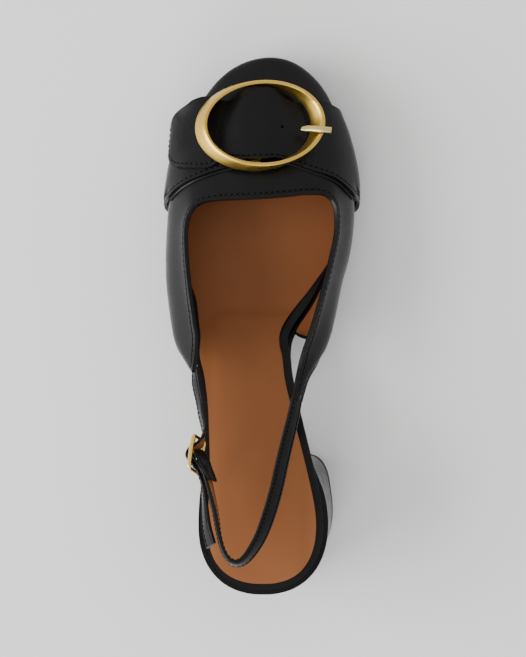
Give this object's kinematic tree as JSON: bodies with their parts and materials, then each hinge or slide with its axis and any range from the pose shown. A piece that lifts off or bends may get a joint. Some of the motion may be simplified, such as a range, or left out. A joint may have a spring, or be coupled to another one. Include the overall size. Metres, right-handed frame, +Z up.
{
  "type": "slingback pump",
  "caption": "Left slingback pump with a block heel, an oval buckle on a toe strap and a buckled heel strap.",
  "frame": {"origin": "on the floor, under the middle of the shoe's box", "axes": "+Y to the toe, +X to the inner side of the foot, +Z up"},
  "size_m": [0.0906, 0.2432, 0.0911],
  "materials": {
    "black_leather": "smooth, semi-matte",
    "tan_leather": "smooth, matte",
    "black_rubber": "matte",
    "satin_gold": "satin gold plating"
  },
  "bodies": {
    "root": {"outsole": "black_leather", "heel_block": "black_leather", "heel_tip": "black_rubber", "footbed": "black_leather", "sock": "tan_leather", "upper": "black_leather", "toe_strap_over": "black_leather", "toe_strap_under": "black_leather", "toe_buckle": "satin_gold", "toe_buckle_prong": "satin_gold", "heel_strap": "black_leather", "buckle_strap": "black_leather", "strap_buckle": "satin_gold", "strap_buckle_prong": "satin_gold"}
  },
  "joints": []
}
